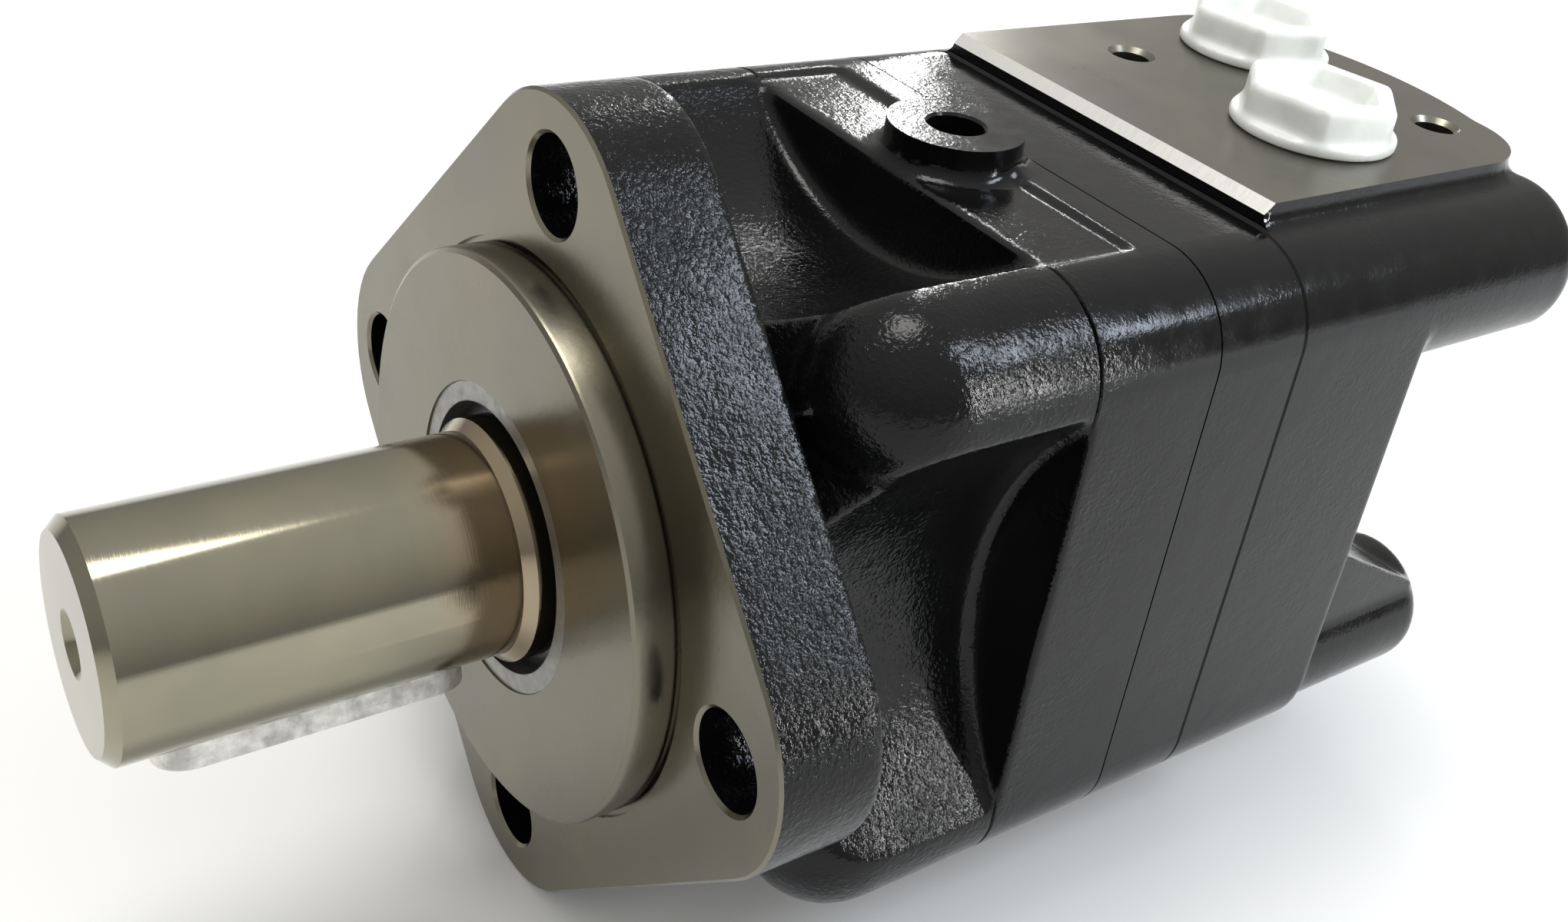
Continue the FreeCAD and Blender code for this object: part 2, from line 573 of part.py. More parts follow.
def valve_drive():
    length = math.hypot(DRIVE_REAR_Y - DRIVE_FRONT_Y, ECCENTRICITY)
    bar = turned([(-2.2, 0), (-2.2, 5.0), (length + 2.2, 5.0), (length + 2.2, 0)])
    heads = [spline_head(CARDAN_SPLINE, 0, 4.0), spline_head(DRIVE_SPLINE, length, 4.0)]
    solid = bar.multiFuse(heads)
    return tilted(DRIVE_FRONT_Y, DRIVE_REAR_Y, ECCENTRICITY, 0, solid)


# ---------------------------------------------------------------- valve group

def disc_valve():
    """Rotary valve: six windows open to its rim and six go through to the balance plate."""
    y1 = VALVE_Y0 + VALVE_THICK
    disc = cyl_y(VALVE_R, VALVE_Y0, y1)
    rim_window = box(20.5, VALVE_R + 1, VALVE_Y0 - 1, VALVE_Y0 + 5, -2.2, 2.2)
    through = cyl_y(2.2, VALVE_Y0 - 1, y1 + 1, 22.5, 0)
    step = 360.0 / LOBES
    cuts = around_axis(rim_window, LOBES) + around_axis(through, LOBES, step / 2)
    cuts.append(star(SPLINE_TEETH, VALVE_SPLINE[0], VALVE_SPLINE[1], VALVE_Y0 - 1, y1 + 1))
    return disc.cut(cuts)


def balance_plate():
    y0 = VALVE_Y0 + VALVE_THICK + RUN
    body = turned([(y0, 12), (y0, 28), (y0 + 5.5, 28), (y0 + 5.5, BALANCE_BOSS_R),
                   (134, BALANCE_BOSS_R), (134, 12)])
    through = cyl_y(2.2, y0 - 1, y0 + 7, 22.5, 0)
    groove = cyl_y(BALANCE_BOSS_R + 1, 127, 129.4).cut(cyl_y(14.2, 126, 130))
    return body.cut(around_axis(through, LOBES, 30) + [groove])


def balance_o_ring():
    ring = Part.makeTorus(15.1, 0.85, ORIGIN, Y_AXIS)
    ring.translate(vec(0, 128.2, 0))
    return ring


def balance_spring():
    """Coned disc spring that holds the balance plate and the valve together."""
    y0 = VALVE_Y0 + VALVE_THICK + RUN + 5.5
    return turned([(y0 + 0.02, 17.2), (y0 + 1.2, 17.0), (CHAMBER_END_Y - 0.02, 26.8),
                   (CHAMBER_END_Y - 1.2, 27.0)])


def check_plug():
    """Screw plug of a ball check, with a nose that limits the ball's lift."""
    plug = cyl_y(3.95, CHECK_PLUG_Y, BLOCK_END_Y - 0.5)
    nose = cyl_y(1.6, CHECK_BALL_Y + CHECK_BALL_R + 0.8, CHECK_PLUG_Y)
    socket = hexagon_y(4.0, BLOCK_END_Y - 3.5, BLOCK_END_Y, 0, 0)
    return plug.fuse(nose).cut(socket)


# ---------------------------------------------------------------- fasteners and plugs

def case_bolt(x, z):
    """Socket-head cap screw, M10."""
    top = BOLT_SEAT_Y + BOLT_HEAD_HEIGHT
    head = cyl_y(BOLT_HEAD_R, BOLT_SEAT_Y, top, x, z)
    head = head.makeChamfer(0.8, arc_edges(head, BOLT_HEAD_R, top))
    shank = cyl_y(BOLT_R, BOLT_TIP_Y, BOLT_SEAT_Y + 1, x, z)
    return head.fuse(shank).cut(hexagon_y(8.0, top - 5, top + 1, x, z))


def port_plug(x, y):
    """Plastic transport plug: a hollow hexagon head, a round flange and a stem in the port."""
    flange_top = PAD_Z + 2.0
    head_top = PAD_Z + 9.5
    flange_disc = cyl_z(14.4, PAD_Z, flange_top, x, y)
    head = hexagon(24.5, flange_top, head_top, x, y, 12)
    crown = cyl_z(13.6, flange_top, head_top, x, y)
    stem = cyl_z(PORT_R - 0.08, PAD_Z - PLUG_STEM, PAD_Z, x, y)
    recess = hexagon(17.0, head_top - 5.5, head_top + 1, x, y, 12)
    body = flange_disc.multiFuse([head.common(crown), stem])
    return body.cut(recess)


def nodes():
    """Every node of the motor, by name."""
    parts = {
        "front_housing": front_housing(),
        "gear_ring": gear_ring(),
        "rear_housing": rear_housing(),
        "wear_plate": wear_plate(),
        "channel_plate": channel_plate(),
        "rotor": rotor(),
        "output_shaft": output_shaft(),
        "shaft_key": shaft_key(),
        "dust_seal": dust_seal(),
        "seal_backup_washer": seal_backup_washer(),
        "shaft_seal": shaft_seal(),
        "bearing_nut": bearing_nut(),
        "cardan_shaft": cardan_shaft(),
        "cardan_spacer": cardan_spacer(),
        "valve_drive": valve_drive(),
        "disc_valve": disc_valve(),
        "balance_plate": balance_plate(),
        "balance_o_ring": balance_o_ring(),
        "balance_spring": balance_spring(),
        "case_o_ring_front": case_o_ring(RING_Y0, -1),
        "case_o_ring_rear": case_o_ring(RING_Y1, 1),
        "case_bolts": Part.makeCompound([case_bolt(x, z) for x, z in BOLTS]),
        "port_plug_a": port_plug(*PORT_A),
        "port_plug_b": port_plug(*PORT_B),
    }
    for i, (x, z) in enumerate(pin_places(), 1):
        parts["geroler_roller_%d" % i] = geroler_roller(x, z)
    for place, bearing, direction, count in (("front", FRONT_BEARING, 1, 18), ("rear", REAR_BEARING, -1, 20)):
        races = bearing_parts(bearing, direction, count)
        for kind, shape in zip(("outer_race", "inner_race", "cage", "rollers"), races):
            parts["%s_bearing_%s" % (place, kind)] = shape
    plugs = []
    for letter, side in (("a", 1), ("b", -1)):
        centre = vec(side * CHECK_X, CHECK_BALL_Y, 0)
        parts["check_ball_%s" % letter] = Part.makeSphere(CHECK_BALL_R, centre)
        plug = check_plug()
        plug.translate(vec(side * CHECK_X, 0, 0))
        plugs.append(plug)
    parts["check_plugs"] = Part.makeCompound(plugs)
    return parts


os.makedirs("parts", exist_ok=True)
for name, shape in nodes().items():
    shape.exportStep("parts/%s.step" % name)
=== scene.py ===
import json
import math

import bmesh
import bpy
from mathutils import Matrix, Vector


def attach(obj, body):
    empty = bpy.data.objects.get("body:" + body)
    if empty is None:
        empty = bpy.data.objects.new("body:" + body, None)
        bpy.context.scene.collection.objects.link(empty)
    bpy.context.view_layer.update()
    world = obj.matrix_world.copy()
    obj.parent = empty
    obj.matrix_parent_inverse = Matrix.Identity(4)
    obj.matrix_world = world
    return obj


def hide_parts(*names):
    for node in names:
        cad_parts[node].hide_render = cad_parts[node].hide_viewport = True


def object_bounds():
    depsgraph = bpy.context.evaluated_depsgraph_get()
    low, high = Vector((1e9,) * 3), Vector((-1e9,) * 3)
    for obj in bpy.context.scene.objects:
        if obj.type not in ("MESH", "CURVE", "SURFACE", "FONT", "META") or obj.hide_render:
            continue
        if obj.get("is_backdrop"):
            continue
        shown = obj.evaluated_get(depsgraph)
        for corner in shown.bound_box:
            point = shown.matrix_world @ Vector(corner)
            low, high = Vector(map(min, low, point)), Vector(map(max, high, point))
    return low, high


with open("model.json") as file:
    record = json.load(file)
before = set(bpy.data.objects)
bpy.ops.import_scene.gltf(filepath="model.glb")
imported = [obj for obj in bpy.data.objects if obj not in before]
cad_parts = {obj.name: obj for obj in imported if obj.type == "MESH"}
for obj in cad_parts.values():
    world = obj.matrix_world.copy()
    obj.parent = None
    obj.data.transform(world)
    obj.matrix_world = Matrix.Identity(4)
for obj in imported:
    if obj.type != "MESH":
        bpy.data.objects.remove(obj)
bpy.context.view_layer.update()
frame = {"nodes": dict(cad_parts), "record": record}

MM = 0.001
nodes = frame["nodes"]

# Dimensions shared with the CAD model, in millimetres.
FLANGE_HALF, FLANGE_CORNER_R, FLANGE_THICK = 52.3, 21.0, 15.5
FLANGE_PCD, FLANGE_HOLE_R = 106.4, 6.75
PILOT_R, PILOT_HEIGHT = 41.25, 6.0
FRONT_PLATE_Y, RING_Y0, RING_Y1 = 54.5, 77.5, 94.9
BODY_HALF, CORNER_R = 50.5, 14.0
CORNER_C = BODY_HALF - CORNER_R
BARREL_R = 36.0
POST_REACH, POST_DOME_Y = CORNER_C * math.sqrt(2), 33.0
SCOOP_R, SCOOP_FLOOR = 49.5, 36.0
PLATE_TOP_Z, PLATE_STEP_HALF_X, PLATE_STEP_Y = 49.7, 36.0, 71.0
BLOCK_END_Y = 127.0
PAD_Z, PAD_HALF_X, PAD_Y0, PAD_Y1 = 54.2, 36.8, 95.6, 171.0
UPPER_LUG_END_Y, UPPER_LUG_FLOOR_Z = 167.0, 27.7
LOWER_LUG_R, LOWER_LUG_END_Y = 12.5, 163.0
LUG_END_R = 5
WAIST_Y, WAIST_DEPTH = 99.0, 6.0
CORE_R = 36.0
DRAIN_Y, DRAIN_BOSS_R, DRAIN_TOP_Z, DRAIN_R, DRAIN_DEPTH = 66.5, 10.6, 55.0, 4.4, 12.5
PLATE_R, PLATE_THICK = 41.55, 6.5
PORTS = ((16.5, 129.1), (-17.0, 151.6))
PORT_R, PORT_DEPTH = 9.5, 17.0
PAD_SCREWS, PAD_SCREW_R, PAD_SCREW_DEPTH = ((-21.0, 123.9), (21.0, 156.9)), 3.4, 15.0
BOLT_C, BOLT_TAP_R, BOLT_HOLE_R, BOLT_WELL_R = 38.0, 5.0, 5.3, 8.8
BOLT_SEAT_Y, BOLT_TIP_Y = 150.0, 46.0
BOLTS = [(sx * BOLT_C, sz * BOLT_C) for sx in (1, -1) for sz in (1, -1)]
CHECK_X, CHECK_BALL_Y, CHECK_PLUG_Y = 44.0, 116.0, 120.0
CHECK_BALL_ROOM_R, CHECK_PLUG_R = 2.8, 4.0
PLUG_STEM = 7.5
PLUG_RIM_R, PLUG_HEX, PLUG_HEX_TURN_DEG = 13.8, 23.6, 12
SEAL_BORE_R, SEAL_FLOOR_Y = 22.5, 9.0
FRONT_RACE_R, FRONT_RACE_Y0, FRONT_RACE_Y1 = 31.0, 12.0, 30.0
REAR_RACE_R, REAR_RACE_Y0 = 32.5, 43.0
RACE_SHOULDER_R0, RACE_SHOULDER_R1 = 27.5, 28.5
VALVE_ROOM_R, VALVE_ROOM_END_Y = 30.0, 124.0
SPRING_ROOM_R, SPRING_ROOM_END_Y = 16.0, 142.0
GROOVE_R0, GROOVE_R1, GROOVE_DEPTH = 43.2, 45.4, 1.5

# How the castings are made.
VOXEL, PLUG_VOXEL = 0.6, 0.35   # fineness of the blended skins
FRONT_FILLET, REAR_FILLET = 1.2, 1.4
SMOOTHING = 3
SPARE = 8.0                     # skin left past a face that is cut flat afterwards
PARTING_CHAMFER, WIDE_CHAMFER = 0.3, 0.75
CLEAR = 90.0                    # well outside the motor


# ---------------------------------------------------------------- mesh helpers, in millimetres

def mesh_object(name, bm):
    """A new object in metres from a bmesh in millimetres."""
    bmesh.ops.recalc_face_normals(bm, faces=bm.faces)
    bmesh.ops.scale(bm, vec=(MM,) * 3, verts=bm.verts)
    mesh = bpy.data.meshes.new(name)
    bm.to_mesh(mesh)
    bm.free()
    obj = bpy.data.objects.new(name, mesh)
    bpy.context.scene.collection.objects.link(obj)
    return obj


def add_loft(bm, sections, axis="y"):
    """Adds the solid through outlines that all have the same number of points."""
    def place(a, b, c):
        return {"x": (c, a, b), "y": (a, c, b), "z": (a, b, c)}[axis]
    rings = [[bm.verts.new(place(a, b, c)) for a, b in outline] for c, outline in sections]
    count = len(rings[0])
    for low, high in zip(rings, rings[1:]):
        for i in range(count):
            j = (i + 1) % count
            bm.faces.new((low[i], low[j], high[j], high[i]))
    bm.faces.new(rings[0][::-1])
    bm.faces.new(rings[-1])


def add_prism(bm, outline, axis, low, high):
    """Adds the outline (two coordinates per point) extruded along an axis."""
    add_loft(bm, [(low, outline), (high, outline)], axis)


def circle(cx, cy, r, count=64):
    """The outline of a circle about (cx, cy)."""
    return [(cx + r * math.cos(2 * math.pi * i / count), cy + r * math.sin(2 * math.pi * i / count))
            for i in range(count)]


def rounded_square(half, corner_r, turn=0.0, steps=12):
    """The outline of a square with rounded corners, turned about its centre."""
    points = []
    c = half - corner_r
    for k, (sx, sz) in enumerate(((1, 1), (-1, 1), (-1, -1), (1, -1))):
        for i in range(steps + 1):
            a = math.pi / 2 * (k + i / steps)
            points.append((sx * c + corner_r * math.cos(a), sz * c + corner_r * math.sin(a)))
    ca, sa = math.cos(turn), math.sin(turn)
    return [(x * ca - z * sa, x * sa + z * ca) for x, z in points]


def rectangle(x0, x1, z0, z1):
    return [(x0, z0), (x1, z0), (x1, z1), (x0, z1)]


def add_turned(bm, profile, steps=96):
    """Adds the solid of revolution about the Y axis of a profile of (y, radius)."""
    rings = []
    for y, r in profile:
        if r < 1e-6:
            rings.append([bm.verts.new((0, y, 0))])
        else:
            rings.append([bm.verts.new((r * math.cos(a), y, r * math.sin(a)))
                          for a in (2 * math.pi * i / steps for i in range(steps))])
    for low, high in zip(rings, rings[1:]):
        for i in range(steps):
            j = (i + 1) % steps
            if len(low) == 1:
                bm.faces.new((low[0], high[j], high[i]))
            elif len(high) == 1:
                bm.faces.new((low[i], low[j], high[0]))
            else:
                bm.faces.new((low[i], low[j], high[j], high[i]))


def add_ring(bm, profile, steps=96):
    """Adds the closed ring swept about the Y axis by a closed profile of (y, radius)."""
    profile = profile[:-1]
    rings = [[bm.verts.new((r * math.cos(a), y, r * math.sin(a)))
              for a in (2 * math.pi * i / steps for i in range(steps))] for y, r in profile]
    for low, high in zip(rings, rings[1:] + rings[:1]):
        for i in range(steps):
            j = (i + 1) % steps
            bm.faces.new((low[i], low[j], high[j], high[i]))


def add_ball(bm, centre, r):
    bmesh.ops.create_uvsphere(bm, u_segments=48, v_segments=24, radius=r,
                              matrix=Matrix.Translation(centre))


def add_rod(bm, start, end, r):
    start, end = Vector(start), Vector(end)
    turn = (end - start).to_track_quat("Z", "Y").to_matrix().to_4x4()
    bmesh.ops.create_cone(bm, cap_ends=True, segments=40, radius1=r, radius2=r,
                          depth=(end - start).length,
                          matrix=Matrix.Translation((start + end) / 2) @ turn)


def apply_modifiers(obj):
    """Makes the object's modified shape its own mesh."""
    graph = bpy.context.evaluated_depsgraph_get()
    mesh = bpy.data.meshes.new_from_object(obj.evaluated_get(graph))
    obj.modifiers.clear()
    old = obj.data
    obj.data = mesh
    bpy.data.meshes.remove(old)


def remesh(obj, voxel):
    modifier = obj.modifiers.new("unite", "REMESH")
    modifier.mode, modifier.voxel_size = "VOXEL", voxel * MM


def unite(obj, voxel):
    """Makes one closed skin round overlapping solids."""
    remesh(obj, voxel)
    apply_modifiers(obj)


def blend_solids(obj, voxel, fillet, smooth):
    """Unites overlapping solids, fills the inside corners by `fillet` and softens every edge."""
    for offset in (fillet, -fillet):
        remesh(obj, voxel)
        push = obj.modifiers.new("push", "DISPLACE")
        push.strength, push.mid_level = offset * MM, 0.0
    remesh(obj, voxel)
    soften = obj.modifiers.new("soften", "SMOOTH")
    soften.factor, soften.iterations = 0.5, smooth
    apply_modifiers(obj)


def combine(obj, cutter, operation="DIFFERENCE"):
    """Cuts the object with another one, or keeps what both share, or adds the two up."""
    cut = obj.modifiers.new("cut", "BOOLEAN")
    cut.object, cut.operation, cut.solver = cutter, operation, "MANIFOLD"
    apply_modifiers(obj)
    bpy.data.objects.remove(cutter)


def solid(build, *args):
    """A one-solid object for a boolean: solid(add_prism, outline, axis, low, high)."""
    bm = bmesh.new()
    build(bm, *args)
    return mesh_object("cutter", bm)


def flared_hole(x, y, r, top, depth, flare):
    """The cutter of an upright hole whose mouth opens out by `flare`."""
    bore, mouth = circle(x, y, r), circle(x, y, r + flare)
    sections = [(top - depth, bore), (top - flare, bore), (top, mouth), (top + 1, mouth)]
    return solid(add_loft, sections, "z")


def stepped_hole(x, z, r, well_r, start, seat, end):
    """The cutter of a hole along Y that widens at its seat."""
    bore, well = circle(x, z, r), circle(x, z, well_r)
    return solid(add_loft, [(start, bore), (seat, bore), (seat + 0.02, well), (end, well)])


def join(target, other):
    """Adds another object's mesh to the target's and removes the other object."""
    bm = bmesh.new()
    bm.from_mesh(target.data)
    bm.from_mesh(other.data)
    bm.to_mesh(target.data)
    bm.free()
    bpy.data.objects.remove(other)


# ---------------------------------------------------------------- the cast housings

def front_casting():
    """The front housing: blended cast skin first, then everything that is machined."""
    skin = solid(add_prism, rounded_square(BODY_HALF, CORNER_R), "y", FLANGE_THICK, FRONT_PLATE_Y + 1)
    skin.name = "front_casting"
    slope_end_y, slope_end_r, end = 40, 66.5, FRONT_PLATE_Y + 1
    shoulder = [(FLANGE_THICK - 1, 0), (FLANGE_THICK - 1, 41), (slope_end_y, slope_end_r),
                (end + SPARE, slope_end_r), (end + SPARE, 0)]
    combine(skin, solid(add_turned, shoulder, 160), "INTERSECT")
    web_start = 20
    for k in range(4):
        bm = bmesh.new()
        add_prism(bm, circle(POST_REACH, 0, CORNER_R), "y", POST_DOME_Y, end)
        add_ball(bm, (POST_REACH, POST_DOME_Y, 0), CORNER_R)
        add_prism(bm, rectangle(web_start, POST_REACH, -CORNER_R, CORNER_R),
                  "y", POST_DOME_Y, end)
        add_rod(bm, (web_start, POST_DOME_Y, 0), (POST_REACH, POST_DOME_Y, 0), CORNER_R)
        turn = Matrix.Rotation(math.pi / 4 + k * math.pi / 2, 4, "Y")
        bmesh.ops.transform(bm, matrix=turn, verts=bm.verts)
        join(skin, mesh_object("post", bm))
    unite(skin, VOXEL)
    reach = SCOOP_FLOOR + SCOOP_R
    for k in range(4):
        a = k * math.pi / 2
        scoop = circle(reach * math.cos(a), reach * math.sin(a), SCOOP_R, 240)
        combine(skin, solid(add_prism, scoop, "y", FLANGE_THICK - 2, FRONT_PLATE_Y))
    plate = solid(add_prism, rounded_square(BODY_HALF, CORNER_R), "y", FRONT_PLATE_Y, RING_Y0 + SPARE)
    step = rectangle(-PLATE_STEP_HALF_X, PLATE_STEP_HALF_X, FRONT_PLATE_Y - 2, PLATE_STEP_Y)
    for casting in (skin, plate):
        combine(casting, solid(add_prism, step, "z", PLATE_TOP_Z, CLEAR))
    join(skin, plate)
    bm = bmesh.new()
    add_prism(bm, rounded_square(FLANGE_HALF, FLANGE_CORNER_R, math.pi / 4), "y", -SPARE, FLANGE_THICK)
    add_prism(bm, circle(0, 0, BARREL_R, 96), "y", -SPARE, RING_Y0 + SPARE)
    add_prism(bm, circle(0, DRAIN_Y, DRAIN_BOSS_R), "z", BARREL_R - 6, DRAIN_TOP_Z + 6)
    join(skin, mesh_object("flange_and_boss", bm))
    blend_solids(skin, VOXEL, FRONT_FILLET, SMOOTHING)

    # a shallow line round the body where the posts meet the rear flange
    groove = [(FRONT_PLATE_Y - 0.45, 0.02), (FRONT_PLATE_Y, -0.55), (FRONT_PLATE_Y + 0.35, 0.02)]
    outer = [(y, rounded_square(60, 20)) for y, _ in (groove[0], groove[-1])]
    band = solid(add_loft, outer)
    inner = [(y, rounded_square(BODY_HALF + grow, CORNER_R + grow)) for y, grow in groove]
    inner = [(inner[0][0] - 0.1, inner[0][1])] + inner + [(inner[-1][0] + 0.1, inner[-1][1])]
    combine(band, solid(add_loft, inner))
    combine(skin, band)

    # machined faces: the flange front with its chamfer, and the parting face
    wide = rounded_square(CLEAR, 20)
    turned_flange = [(y, rounded_square(FLANGE_HALF + grow, FLANGE_CORNER_R + grow, math.pi / 4))
                     for y, grow in ((0, -0.45), (0.9, 0.45))]
    bevel_y = RING_Y0 - 1.0
    plate = [(y, rounded_square(BODY_HALF + grow, CORNER_R + grow))
             for y, grow in ((bevel_y, 1.0 - PARTING_CHAMFER), (RING_Y0, -PARTING_CHAMFER))]
    sections = turned_flange + [(0.95, wide), (bevel_y - 0.05, wide)] + plate
    combine(skin, solid(add_loft, sections), "INTERSECT")
    combine(skin, solid(add_prism, rectangle(-20, 20, 46, RING_Y0 + 12.5), "z", DRAIN_TOP_Z, CLEAR))

    pilot = [(0.5, 0), (0.5, PILOT_R - 0.8), (-0.1, PILOT_R - 0.8), (-0.1, PILOT_R),
             (-PILOT_HEIGHT + 0.8, PILOT_R), (-PILOT_HEIGHT + 0.35, PILOT_R - 0.15),
             (-PILOT_HEIGHT, PILOT_R - 0.8), (-PILOT_HEIGHT, 0)]
    relief = [(-0.01, PILOT_R - 0.7), (-0.01, PILOT_R + 0.9), (0.7, PILOT_R + 0.9),
              (0.7, PILOT_R - 0.7), (-0.01, PILOT_R - 0.7)]
    plate_y, groove_y = RING_Y0 - PLATE_THICK, RING_Y0 - GROOVE_DEPTH
    bore = [(-PILOT_HEIGHT - 1, 0), (-PILOT_HEIGHT - 1, SEAL_BORE_R + 0.4),
            (-PILOT_HEIGHT + 0.4, SEAL_BORE_R), (SEAL_FLOOR_Y, SEAL_BORE_R),
            (SEAL_FLOOR_Y, RACE_SHOULDER_R0), (FRONT_RACE_Y0, RACE_SHOULDER_R0),
            (FRONT_RACE_Y0, FRONT_RACE_R), (FRONT_RACE_Y1, FRONT_RACE_R),
            (FRONT_RACE_Y1, RACE_SHOULDER_R1), (REAR_RACE_Y0, RACE_SHOULDER_R1),
            (REAR_RACE_Y0, REAR_RACE_R), (plate_y, REAR_RACE_R), (plate_y, PLATE_R),
            (RING_Y0, PLATE_R), (RING_Y0, GROOVE_R0), (groove_y, GROOVE_R0),
            (groove_y, GROOVE_R1), (RING_Y0, GROOVE_R1), (RING_Y0 + 1, GROOVE_R1), (RING_Y0 + 1, 0)]
    combine(skin, solid(add_turned, pilot, 192), "UNION")
    combine(skin, solid(add_ring, relief, 192))
    combine(skin, solid(add_turned, bore, 160))
    for k in range(4):
        a = k * math.pi / 2
        x, z = FLANGE_PCD / 2 * math.cos(a), FLANGE_PCD / 2 * math.sin(a)
        wide_end, bore_end = (circle(x, z, FLANGE_HOLE_R + flare) for flare in (0.5, 0))
        hole = [(-1, wide_end), (0, wide_end), (0.5, bore_end), (FLANGE_THICK + 1, bore_end)]
        combine(skin, solid(add_loft, hole))
    for x, z in BOLTS:
        combine(skin, solid(add_prism, circle(x, z, BOLT_TAP_R, 32), "y", BOLT_TIP_Y - 3, RING_Y0 + 1))
    combine(skin, flared_hole(0, DRAIN_Y, DRAIN_R, DRAIN_TOP_Z, DRAIN_DEPTH, 0.4))
    return skin


def rounded_bar(r, y0, y1, x, z, end_r, steps=64):
    """Sections of a bar along Y with a rounded far end."""
    sections = [(y0, circle(x, z, r, steps))]
    for i in range(7):
        a = math.pi / 2 * i / 6
        sections.append((y1 - end_r + end_r * math.sin(a),
                         circle(x, z, r - end_r + end_r * math.cos(a), steps)))
    return sections


